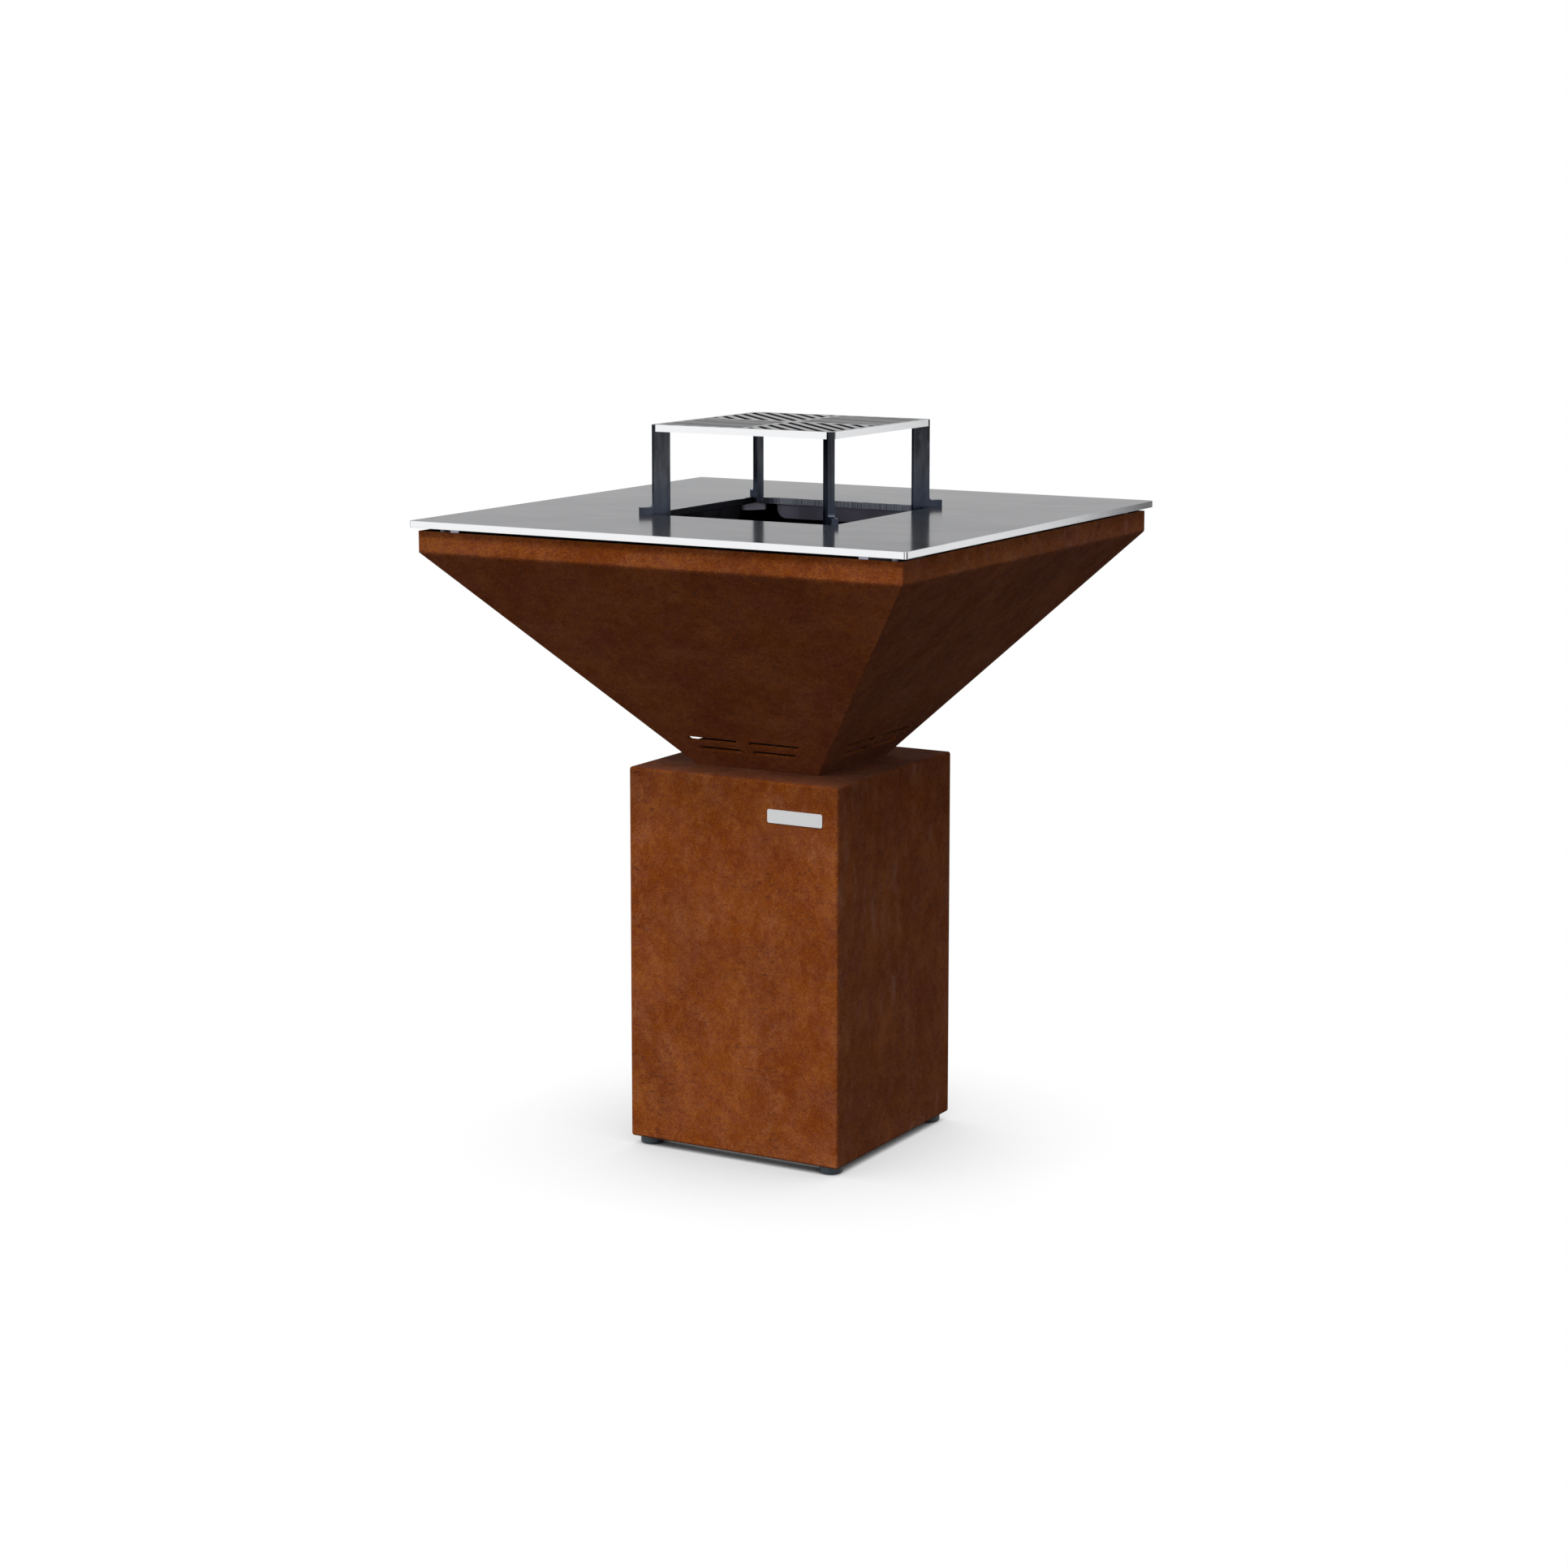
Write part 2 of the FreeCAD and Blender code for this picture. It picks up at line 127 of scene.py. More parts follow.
room_white = 1.0
room_fill = 0.37            # what the room gives to matt surfaces
floor_width = 80.0
floor_fill = 0.050          # grey of the floor where it lights them from below
shadow_reach = 0.30         # how far from the fire pit its soft shadow starts
shadow_curve = 0.55
shadow_core = (0.04, 0.46)  # openness at which the floor is black, and at which it no longer is
lamps = {                   # the way that each one lies, its strength, and how wide it looks
    "high_lamp": (Vector((0.28, -0.96, 2.05)), 2.05, math.radians(50)),
    "left_lamp": (Vector((-0.56, -0.83, 1.28)), 1.80, math.radians(14)),
    "low_lamp": (Vector((-0.20, -0.98, 0.14)), 1.02, math.radians(40)),
}
flag_distance = 6.5
flag_top = 0.9              # below the cooking plate, so that its top never mirrors them
flags = {                   # each one's turn round the fire pit, from front to right, and its width
    "flag_behind_camera": (math.radians(24), 2.9),
    "flag_at_the_right": (math.radians(111), 7.2),
    "flag_behind_fire_pit": (math.radians(164), 2.5),
    "flag_at_the_left": (math.radians(240), 6.0),
}


def seen_directly(light_path):
    """1 for rays from the camera, a mirror or glass, and 0 for those that light matt surfaces."""
    camera_ray = Shade(light_path.id_data, light_path.outputs["Is Camera Ray"])
    glossy_ray = Shade(light_path.id_data, light_path.outputs["Is Glossy Ray"])
    clear_ray = Shade(light_path.id_data, light_path.outputs["Is Transmission Ray"])
    return camera_ray.larger(glossy_ray).larger(clear_ray)


room = bpy.data.worlds.new("white room")
room.use_nodes = True
bpy.context.scene.world = room
seen = seen_directly(room.node_tree.nodes.new("ShaderNodeLightPath"))
brightness = seen * (room_white - room_fill) + room_fill
room.node_tree.links.new(brightness.socket, room.node_tree.nodes["Background"].inputs["Strength"])
room.node_tree.nodes["Background"].inputs["Color"].default_value = (1, 1, 1, 1)

bpy.ops.mesh.primitive_plane_add(size=floor_width)
floor = bpy.context.object
floor.name = "studio_floor"
floor_paint = bpy.data.materials.new("studio floor")
floor_paint.use_nodes = True
tree = floor_paint.node_tree
seen = seen_directly(tree.nodes.new("ShaderNodeLightPath"))
openness = seen.node("ShaderNodeAmbientOcclusion", {"Distance": shadow_reach}, output=1, samples=16)
glow = openness.maths("POWER", openness, shadow_curve) * share(openness, *shadow_core)
white = seen.node("ShaderNodeEmission", {"Strength": glow})
dim = seen.node("ShaderNodeBsdfDiffuse", {"Color": (floor_fill, floor_fill, floor_fill, 1)})
shown = seen.node("ShaderNodeMixShader", {0: seen, 1: dim, 2: white})
tree.links.new(shown.socket, tree.nodes["Material Output"].inputs["Surface"])
floor.data.materials.append(floor_paint)

for name, (way, strength, width) in lamps.items():
    bpy.ops.object.light_add(type="SUN", rotation=way.to_track_quat("Z", "Y").to_euler())
    lamp = bpy.context.object
    lamp.name = name
    lamp.data.energy = strength
    lamp.data.angle = width
    lamp.visible_glossy = False

black = bpy.data.materials.new("black cloth")
black.use_nodes = True
black.node_tree.nodes["Principled BSDF"].inputs["Base Color"].default_value = (0.004, 0.004, 0.005, 1)
black.node_tree.nodes["Principled BSDF"].inputs["Specular IOR Level"].default_value = 0.0
for name, (turn, width) in flags.items():
    spot = Vector((math.sin(turn) * flag_distance, -math.cos(turn) * flag_distance, flag_top / 2))
    bpy.ops.mesh.primitive_plane_add(size=1.0, location=spot, rotation=(math.pi / 2, 0, turn))
    flag = bpy.context.object
    flag.name = name
    flag.scale = (width, flag_top, 1)
    bpy.ops.object.transform_apply(location=True, rotation=True, scale=True)
    flag.data.materials.append(black)
    flag.visible_camera = False
    flag.visible_diffuse = False
    flag.visible_shadow = False
    flag.visible_transmission = False


# ---- Pedestal: a box folded from weathering steel. Its rust is orange-brown and dry, hazy and
# ---- clear in turn at every size, with purple patches, pale smudges and fine dark specks.


def new_material(name, **constants):
    """A material with its constant sockets set, and the shade that gives a place on the piece."""
    material = bpy.data.materials.new(name)
    material.use_nodes = True
    surface = material.node_tree.nodes["Principled BSDF"]
    for socket, value in constants.items():
        surface.inputs[socket.replace("_", " ")].default_value = value
    coordinates = material.node_tree.nodes.new("ShaderNodeTexCoord")
    return material, Shade(material.node_tree, coordinates.outputs["Object"])


def mottle(place, size, detail=4, rough=0.55, stretch=(1, 1, 1)):
    """Cloudy pattern with patches of about a size, drawn out along an axis by a stretch."""
    scale = tuple(1 / length for length in stretch)
    drawn = place.node("ShaderNodeMapping", {"Vector": place, "Scale": scale})
    look = {"Vector": drawn, "Scale": 1 / size, "Detail": detail, "Roughness": rough}
    return place.node("ShaderNodeTexNoise", look)


def relief(height, depth, strength=1.0):
    """Bumps of a depth, from a height that runs from 0 to 1."""
    return height.node("ShaderNodeBump", {"Height": height, "Distance": depth, "Strength": strength})


def darkened(colour, light):
    """A colour times a light that is 1 where it stays as it is."""
    return colour.node("ShaderNodeMix", {0: 1.0, 6: colour, 7: light}, output=2,
                       data_type="RGBA", blend_type="MULTIPLY")


def faces_way(place, way):
    """How far the surface faces a way, from -1 to 1."""
    facing = place.node("ShaderNodeTexCoord", {}, output=1)
    return place.node("ShaderNodeVectorMath", {0: facing, 1: way}, output=1, operation="DOT_PRODUCT")


def paint(name, material):
    """Gives a CAD node its material."""
    mesh = nodes[name].data
    mesh.materials.clear()
    mesh.materials.append(material)


rust_clear = (0.190, 0.0405, 0.0030, 1)
rust_hazy = (0.240, 0.0650, 0.0170, 1)
rust_pale = (0.360, 0.1400, 0.0660, 1)
rust_pink = (0.340, 0.1550, 0.1150, 1)
rust_dark = (0.045, 0.0150, 0.0110, 1)
purple_cast = (0.87, 0.82, 1.10, 1)
orange_cast = (1.12, 1.18, 0.90, 1)
grain_low = (0.70, 0.59, 0.86, 1)
grain_high = (1.12, 1.23, 0.94, 1)
underside_shade_tint = (0.93, 0.88, 0.82, 1)
soot = (0.012, 0.011, 0.012, 1)


def weathering_steel(name, seed, rain, turn=0.0, inwards=None, painted_light_casts=()):
    """Rust that has settled outdoors. Rain is how its haze is drawn out, before it is turned
    about Y. The casts are painted light and shade: tints of the faces that look some way.
    Faces that look down get a painted shade, and the fire has blackened what faces inwards."""
    material, surface_place = new_material(name, Specular_IOR_Level=0.02,
                                           Sheen_Weight=0.036, Sheen_Roughness=0.6)
    turned = {"Vector": surface_place, "Location": seed, "Rotation": (0, turn, 0)}
    place = surface_place.node("ShaderNodeMapping", turned)
    haze = share(mottle(place, 0.060, 8, 0.95, rain), 0.41, 0.59)
    tone = share(mottle(place, 0.086, 9, 0.95), 0.41, 0.59)
    clouds = share(mottle(place, 0.16, 5, 0.6), 0.36, 0.64)
    smudges = share(mottle(place, 0.050, 9, 0.80, rain), 0.53, 0.66)
    streaks = share(mottle(place, 0.016, 6, 0.75, (1, 1, 4)), 0.48, 0.70)
    streaks = streaks * share(mottle(place, 0.09, 4, 0.6), 0.42, 0.62)
    speckled = share(mottle(place, 0.10, 5, 0.6), 0.46, 0.60)
    specks = share(mottle(place, 0.0050, 4, 0.7, (2.4, 2.4, 0.8)), 0.56, 0.66)
    grain = share(mottle(place, 0.0018, 3, 0.8, (1.5, 1.5, 0.9)), 0.36, 0.64)
    colour = haze.colour(rust_clear, rust_hazy)
    colour = darkened(colour, tone.colour(purple_cast, orange_cast))
    colour = (smudges * 0.30).colour(colour, rust_pale)
    to_right = share(faces_way(surface_place, (1, 0, 0)), 0.70, 0.92)
    colour = (streaks * (0.02 + 0.42 * to_right)).colour(colour, rust_pink)
    colour = (specks * (speckled * 0.42 + 0.17)).colour(colour, rust_dark)
    colour = darkened(colour, grain.colour(grain_low, grain_high))
    colour = darkened(colour, 0.14 * clouds + 0.93)
    # Faces that look down take a duller, darker tint: painted shade.
    painted_underside_shade = share(faces_way(surface_place, (0, 0, -1)), 0.25, 0.55)
    colour = painted_underside_shade.colour(colour, darkened(colour, underside_shade_tint))
    # Painted light and shade: faces that look each given way take its tint.
    for way, cast in painted_light_casts:
        colour = share(faces_way(surface_place, way), 0.80, 0.95).colour(colour, darkened(colour, cast))
    if inwards:
        fired = share(faces_way(surface_place, inwards), 0.05, 0.25)
        colour = (fired * 0.9).colour(colour, soot)
    colour.feeds("Base Color")
    (0.90 - 0.12 * haze - 0.10 * specks).feeds("Roughness")
    relief(grain * 0.4 + tone * 0.6 - specks * 0.4, 0.0004, 0.6).feeds("Normal")
    return material


paint("pedestal_shell", weathering_steel("pedestal rust", (0.3, 0.0, 0.1), (1, 1, 1.3)))


# ---- Levelling feet: a dark pad moulded round the head of a hexagon bolt, whose thread turns
# ---- in a nut welded inside the bottom flange.

rubber, place = new_material("foot rubber", Specular_IOR_Level=0.45)
mould_grain = mottle(place, 0.0006, 3)
dust = share(mottle(place, 0.009, 6, 0.7), 0.5, 0.75)
(dust * 0.35).colour((0.024, 0.035, 0.042, 1), (0.055, 0.063, 0.068, 1)).feeds("Base Color")
(0.42 + 0.25 * dust).feeds("Roughness")
relief(mould_grain, 0.00008, 0.5).feeds("Normal")

zinc, place = new_material("zinc plated steel", Metallic=1.0)
spangle = share(mottle(place, 0.003, 5, 0.6), 0.3, 0.7)
spangle.colour((0.55, 0.55, 0.53, 1), (0.70, 0.70, 0.73, 1)).feeds("Base Color")
(0.28 + 0.18 * spangle).feeds("Roughness")
relief(spangle, 0.00005, 0.4).feeds("Normal")

CORNERS = ("front_right", "back_right", "back_left", "front_left")
pad_edge = 0.0036           # rounding round the pad's tread
pad_lip = 0.0006
pad_steps = 96
head_flats = 0.016
head_sunk = 0.0064          # the bolt's head ends flush with the pad's top
stud_diameter = 0.010
stud_pitch = 0.0015
weld_nut_flats = 0.017
weld_nut_bore = 0.0102
round_steps = 48            # faces round a crown or a bore
crown_share = 0.47          # radius of the flat left on a crown, of the width across the flats
crown_angle = math.radians(30)
thread_depth = 0.6          # of the pitch
thread_steps = 28           # faces round one turn
close = 1e-5                # how near a point lies to a level to be on it
smooth_angle = math.radians(32)     # edges that turn more than this stay sharp


def nothing_selected():
    """Ends with no object and no part of a mesh selected."""
    if bpy.context.object and bpy.context.object.mode == "EDIT":
        bpy.ops.object.mode_set(mode="OBJECT")
    bpy.ops.object.select_all(action="DESELECT")


def settle(name):
    """Names the piece that was just made and brings its place into its mesh."""
    piece = bpy.context.object
    bpy.ops.object.transform_apply(location=True, rotation=True, scale=True)
    piece.name = name
    piece.data.name = name
    return piece


def pick_edges(piece, wanted):
    """Selects the edges that a test of their two ends wants, and goes to edit mode."""
    bpy.ops.object.mode_set(mode="EDIT")
    bpy.ops.mesh.select_mode(type="EDGE")
    bpy.ops.mesh.select_all(action="DESELECT")
    bpy.ops.object.mode_set(mode="OBJECT")
    points = piece.data.vertices
    for edge in piece.data.edges:
        first, second = (points[n].co for n in edge.vertices)
        edge.select = wanted(first, second)
    bpy.ops.object.mode_set(mode="EDIT")


def combine(piece, cutter, operation):
    """Cuts a piece with another, or keeps what they share, and takes the cutter away."""
    bpy.context.view_layer.objects.active = piece
    join = piece.modifiers.new("cut", "BOOLEAN")
    join.operation = operation
    join.solver = "EXACT"
    join.object = cutter
    bpy.ops.object.modifier_apply(modifier=join.name)
    bpy.data.objects.remove(cutter)


def copy_of(piece, name, shift=(0, 0, 0), turn=0.0):
    """A copy with its own mesh, turned about the Z axis and then shifted."""
    twin = piece.copy()
    twin.data = piece.data.copy()
    twin.name = name
    twin.data.name = name
    twin.data.transform(Matrix.Translation(shift) @ Matrix.Rotation(turn, 4, "Z"))
    bpy.context.scene.collection.objects.link(twin)
    return twin


def finish_piece(piece, material, slot, body, *replaced):
    """Smooths a piece up to its edges and gives it its material and body. Its slot is not used."""
    nothing_selected()
    piece.select_set(True)
    bpy.context.view_layer.objects.active = piece
    bpy.ops.object.shade_smooth_by_angle(angle=smooth_angle)
    piece.data.materials.clear()
    piece.data.materials.append(material)
    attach(piece, body)
    if replaced:
        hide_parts(*replaced)


def middle(name):
    """Middle of a CAD node's box."""
    low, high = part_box(name)
    return (low + high) / 2


def hexagon_form(flats, bottom, top, spot):
    """Hexagon standing on a spot, with its upper corners turned off to a crown."""
    nothing_selected()
    bpy.ops.mesh.primitive_cylinder_add(vertices=6, radius=flats / math.sqrt(3), depth=top - bottom,
                                        location=(spot.x, spot.y, (top + bottom) / 2),
                                        rotation=(0, 0, math.pi / 2))
    form = settle("hexagon")
    crown = crown_share * flats
    spread = crown + (top - bottom) / math.tan(crown_angle)
    bpy.ops.mesh.primitive_cone_add(vertices=round_steps, radius1=spread, radius2=crown, depth=top - bottom,
                                    location=(spot.x, spot.y, (top + bottom) / 2))
    combine(form, settle("crown"), "INTERSECT")
    return form


def bored(piece, diameter, spot, bottom, top):
    """Drills a piece through from bottom to top."""
    nothing_selected()
    bpy.ops.mesh.primitive_cylinder_add(vertices=round_steps, radius=diameter / 2, depth=2 * (top - bottom),
                                        location=(spot.x, spot.y, (top + bottom) / 2))
    combine(piece, settle("drill"), "DIFFERENCE")


def threaded_rod(diameter, pitch, bottom, top, spot):
    """Rod with a screw thread all along: one turn's edge, wound up and cut off at both ends."""
    depth = thread_depth * pitch
    root = diameter / 2 - depth
    nothing_selected()
    bpy.ops.mesh.primitive_plane_add(size=pitch, location=(root + pitch / 2, 0, bottom),
                                     rotation=(math.pi / 2, 0, 0))
    rod = settle("rod")
    bpy.ops.object.mode_set(mode="EDIT")
    bpy.ops.mesh.select_mode(type="VERT")
    bpy.ops.mesh.select_all(action="DESELECT")
    bpy.ops.object.mode_set(mode="OBJECT")
    for point in rod.data.vertices:
        point.select = point.co.x > root + pitch / 2
    bpy.ops.object.mode_set(mode="EDIT")
    bpy.ops.mesh.delete(type="VERT")
    bpy.ops.mesh.select_all(action="SELECT")
    bpy.ops.mesh.subdivide(number_cuts=1)
    bpy.ops.mesh.select_all(action="DESELECT")
    bpy.ops.object.mode_set(mode="OBJECT")
    for point in rod.data.vertices:
        point.select = abs(point.co.z - bottom) < pitch / 4
    bpy.ops.object.mode_set(mode="EDIT")
    bpy.ops.transform.translate(value=(depth, 0, 0))
    bpy.ops.object.mode_set(mode="OBJECT")
    wind = rod.modifiers.new("wind", "SCREW")
    wind.screw_offset = pitch
    wind.iterations = math.ceil((top - bottom) / pitch) + 2
    wind.steps = thread_steps
    wind.render_steps = thread_steps
    wind.use_normal_calculate = True
    bpy.ops.object.modifier_apply(modifier=wind.name)
    bpy.ops.object.mode_set(mode="EDIT")
    bpy.ops.mesh.select_all(action="SELECT")
    bpy.ops.mesh.remove_doubles(threshold=pitch / 100)
    bpy.ops.mesh.bisect(plane_co=(0, 0, bottom + pitch), plane_no=(0, 0, -1),
                        use_fill=True, clear_outer=True)
    bpy.ops.mesh.select_all(action="SELECT")
    bpy.ops.mesh.bisect(plane_co=(0, 0, top + pitch), plane_no=(0, 0, 1),
                        use_fill=True, clear_outer=True)
    bpy.ops.mesh.select_all(action="SELECT")
    bpy.ops.transform.translate(value=(spot.x, spot.y, -pitch))
    bpy.ops.mesh.normals_make_consistent(inside=False)
    bpy.ops.object.mode_set(mode="OBJECT")
    return rod


def joined(name, *forms):
    """Several forms as one mesh."""
    nothing_selected()
    for form in forms:
        form.select_set(True)
    bpy.context.view_layer.objects.active = forms[0]
    bpy.ops.object.join()
    piece = bpy.context.object
    piece.name = name
    piece.data.name = name
    return piece


pad_low, pad_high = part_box("foot_pad_front_right")
pad_middle = middle("foot_pad_front_right")
pad_radius = (pad_high.x - pad_low.x) / 2
nothing_selected()
bpy.ops.mesh.primitive_cylinder_add(vertices=pad_steps, radius=pad_radius, depth=pad_high.z - pad_low.z,
                                    location=pad_middle)
pad = settle("moulded_foot")
pick_edges(pad, lambda first, second: max(first.z, second.z) < pad_low.z + close)
bpy.ops.mesh.bevel(offset=pad_edge, segments=7)
bpy.ops.object.mode_set(mode="OBJECT")
pick_edges(pad, lambda first, second: min(first.z, second.z) > pad_high.z - close)
bpy.ops.mesh.bevel(offset=pad_lip, segments=2)
nothing_selected()
bpy.ops.mesh.primitive_cylinder_add(vertices=6, radius=head_flats / math.sqrt(3), depth=2 * head_sunk,
                                    location=(pad_middle.x, pad_middle.y, pad_high.z),
                                    rotation=(0, 0, math.pi / 2))
combine(pad, settle("seat"), "DIFFERENCE")

stud_low, stud_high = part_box("foot_stud_front_right")
head_top = stud_low.z + head_sunk
stud_head = hexagon_form(head_flats, stud_low.z, head_top, pad_middle)
stud_thread = threaded_rod(stud_diameter, stud_pitch, head_top, stud_high.z, pad_middle)
stud = joined("threaded_stud", stud_head, stud_thread)

nut_low, nut_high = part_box("foot_weld_nuts")
nut = hexagon_form(weld_nut_flats, nut_low.z, nut_high.z, pad_middle)
bored(nut, weld_nut_bore, pad_middle, nut_low.z, nut_high.z)
weld_nuts = []
for corner in CORNERS:
    shift = middle("foot_pad_" + corner) - pad_middle
    foot = copy_of(pad, "moulded_foot_" + corner, shift)
    finish_piece(foot, rubber, "foot_rubber", "foot_" + corner, "foot_pad_" + corner)
    screw = copy_of(stud, "threaded_stud_" + corner, shift)
    finish_piece(screw, zinc, "zinc_steel", "foot_" + corner, "foot_stud_" + corner)
    weld_nuts.append(copy_of(nut, "weld_nut", shift))
for model in (pad, stud, nut):
    bpy.data.objects.remove(model)
finish_piece(joined("flange_weld_nuts", *weld_nuts), zinc, "zinc_steel", "root", "foot_weld_nuts")


# ---- Nameplate: a bare stainless plate with rounded corners and softened edges, glued to the
# ---- front of the pedestal. Its face is brushed from end to end.

stainless, place = new_material("brushed stainless steel", Metallic=1.0)
brushing = mottle(place, 0.0006, 3, 0.6, (60, 1, 1))
brushing.colour((0.58, 0.585, 0.59, 1), (0.70, 0.705, 0.71, 1)).feeds("Base Color")
(0.34 + 0.12 * brushing).feeds("Roughness")
relief(brushing, 0.00003, 0.4).feeds("Normal")

name_corner = 0.003
name_edge = 0.0003
name_low, name_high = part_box("nameplate")
nothing_selected()
bpy.ops.mesh.primitive_cube_add(size=1.0, location=middle("nameplate"), scale=name_high - name_low)
name_blank = settle("nameplate_blank")
pick_edges(name_blank, lambda first, second: abs(first.y - second.y) > close)
bpy.ops.mesh.bevel(offset=name_corner, segments=8)
bpy.ops.object.mode_set(mode="OBJECT")
pick_edges(name_blank, lambda first, second: max(first.y, second.y) < name_low.y + close)
bpy.ops.mesh.bevel(offset=name_edge, segments=2)
bpy.ops.object.mode_set(mode="OBJECT")
finish_piece(name_blank, stainless, "stainless_steel", "root", "nameplate")


# ---- Bowl: four folded panels of the same weathering steel, mitred and welded down the
# ---- corners, with air slots cut near the floor, and bolted to nuts welded under the
# ---- pedestal's top. The fire has blackened the inside.

SIDES = ("front", "right", "back", "left")
rain_slope = math.radians(20)
# Painted shade on the front of the rim, and painted light, bluer, on its right side.
rim_painted_light = (((0, -1, 0), (0.92, 0.92, 0.92, 1)), ((1, 0, 0), (1.14, 1.21, 1.46, 1)))
ways_in = {"front": (0, 1, 0), "right": (-1, 0, 0), "back": (0, -1, 0), "left": (1, 0, 0)}
for n, side in enumerate(SIDES):
    seed = (1.7 * n + 0.6, 0.2, 0.4)
    rust = weathering_steel("bowl rust " + side, seed, (1.8, 1.8, 1), rain_slope, ways_in[side], rim_painted_light)
    paint("bowl_panel_" + side, rust)
paint("bowl_floor", weathering_steel("bowl floor rust", (9.0, 1.0, 2.0), (1, 1, 1), inwards=(0, 0, 1)))

soot_black, place = new_material("sooty weld", Specular_IOR_Level=0.2)
crust = share(mottle(place, 0.012, 7, 0.7), 0.40, 0.62)
crust.colour((0.010, 0.009, 0.010, 1), (0.050, 0.024, 0.014, 1)).feeds("Base Color")
(0.60 + 0.25 * crust).feeds("Roughness")
relief(crust, 0.0002, 0.6).feeds("Normal")

corner_ways = ((1, -1), (1, 1), (-1, 1), (-1, -1))
bowl_sheet = 0.004
bowl_fold = 0.8935          # height at which the panels turn upright on the inside
seam_radius = 0.0034
drop_pitch = 0.8            # from one drop of a weld bead to the next, of its radius


def weld_bead(start, end, radius):
    """Row of overlapping drops from one place to another, as a welder leaves it."""
    nothing_selected()
    bpy.ops.mesh.primitive_uv_sphere_add(segments=10, ring_count=6, radius=radius, location=start)
    bead = settle("bead")
    row = bead.modifiers.new("row", "ARRAY")
    row.count = math.ceil((end - start).length / (drop_pitch * radius))
    row.use_relative_offset = False
    row.use_constant_offset = True
    row.constant_offset_displace = (end - start) / (row.count - 1)
    bpy.ops.object.modifier_apply(modifier=row.name)
    return bead


floor_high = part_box("bowl_floor")[1]
rim_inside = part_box("bowl_panel_front")[1].x - bowl_sheet
seams = []
for sx, sy in corner_ways:
    foot_of_seam = Vector((sx * floor_high.x, sy * floor_high.y, floor_high.z))
    top_of_seam = Vector((sx * rim_inside, sy * rim_inside, bowl_fold))
    seams.append(weld_bead(foot_of_seam, top_of_seam, seam_radius))
finish_piece(joined("bowl_seam_welds", *seams), soot_black, "weathering_steel", "root")

bolt_diameter = 0.008
bolt_pitch = 0.00125
bolt_head_flats = 0.013
bolt_head_height = 0.0053
bowl_nut_flats = 0.014
washer_radius = 0.008
washers_low, washers_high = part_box("bowl_washers")
bolts_low, bolts_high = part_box("bowl_bolts")
nuts_low, nuts_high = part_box("bowl_nuts")
bolt_way = (washers_high.x - washers_low.x) / 2 - washer_radius
under_head = bolts_high.z - bolt_head_height
bolts = []
nuts = []
for sx, sy in corner_ways:
    spot = Vector((sx * bolt_way, sy * bolt_way, 0))
    bolts.append(hexagon_form(bolt_head_flats, under_head, bolts_high.z, spot))
    bolts.append(threaded_rod(bolt_diameter, bolt_pitch, bolts_low.z, under_head, spot))
    nut = hexagon_form(bowl_nut_flats, nuts_low.z, nuts_high.z, spot)
    bored(nut, bolt_diameter, spot, nuts_low.z, nuts_high.z)
    nuts.append(nut)
finish_piece(joined("hexagon_bolts", *bolts), zinc, "zinc_steel", "root", "bowl_bolts")
finish_piece(joined("pedestal_weld_nuts", *nuts), zinc, "zinc_steel", "root", "bowl_nuts")
paint("bowl_washers", zinc)


# ---- Rest bars: flats on edge across the rim's corners, mitred and welded in, which carry the
# ---- cooking plate and leave the air gap under it. Their skin is dark. The ends that face the
# ---- front and the back are bright, partly as bare sawn steel and partly as painted light, and
# ---- the ends that face left and right stay dark as painted shade.

bar_steel, place = new_material("rest bar steel", Metallic=0.2, Specular_IOR_Level=0.3)
skin = share(mottle(place, 0.020, 6, 0.6), 0.35, 0.65)
# Bright ends facing front and back: partly bare sawn steel, partly painted light.
sawn_and_lit_ends = share(abs(faces_way(place, (0, 1, 0))), 0.80, 0.95)
colour = skin.colour((0.055, 0.050, 0.058, 1), (0.100, 0.088, 0.098, 1))
sawn_and_lit_ends.colour(colour, (0.66, 0.67, 0.80, 1)).feeds("Base Color")
(0.34 + 0.16 * skin).feeds("Roughness")
relief(skin, 0.00008, 0.4).feeds("Normal")
for corner in CORNERS:
    paint("rest_bar_" + corner, bar_steel)


# ---- Ember grate: thick slotted steel that lies loose in the taper of the bowl, above the air
# ---- slots, and carries the fire. It is burnt to a dull dark scale.

burnt, place = new_material("burnt steel", Metallic=0.4)
burn = share(mottle(place, 0.015, 8, 0.7), 0.35, 0.65)
burn.colour((0.030, 0.027, 0.028, 1), (0.085, 0.070, 0.062, 1)).feeds("Base Color")
(0.55 + 0.25 * burn).feeds("Roughness")
relief(burn, 0.0003, 0.6).feeds("Normal")
paint("ember_grate", burnt)


# ---- Cooking plate: 10 mm steel, ground on top to a satin that mirrors low light. Its outer
# ---- edges are ground bright, and the cut in the fire hole keeps its upright laser lines. Its cut
# ---- walls are painted lighter where they face the front, and near black as shade elsewhere.

def side_faces(place):
    """1 on upright faces and 0 on level ones."""
    return 1 - share(abs(faces_way(place, (0, 0, 1))), 0.35, 0.55)


def reach_out(place):
    """Larger of the distances from the middle along X and Y."""
    along_x = abs(place.node("ShaderNodeSeparateXYZ", {"Vector": place}, output=0))
    along_y = abs(place.node("ShaderNodeSeparateXYZ", {"Vector": place}, output=1))
    return along_x.larger(along_y)


cut_blend = 0.002           # over which the laser-cut walls give way to the smooth edges


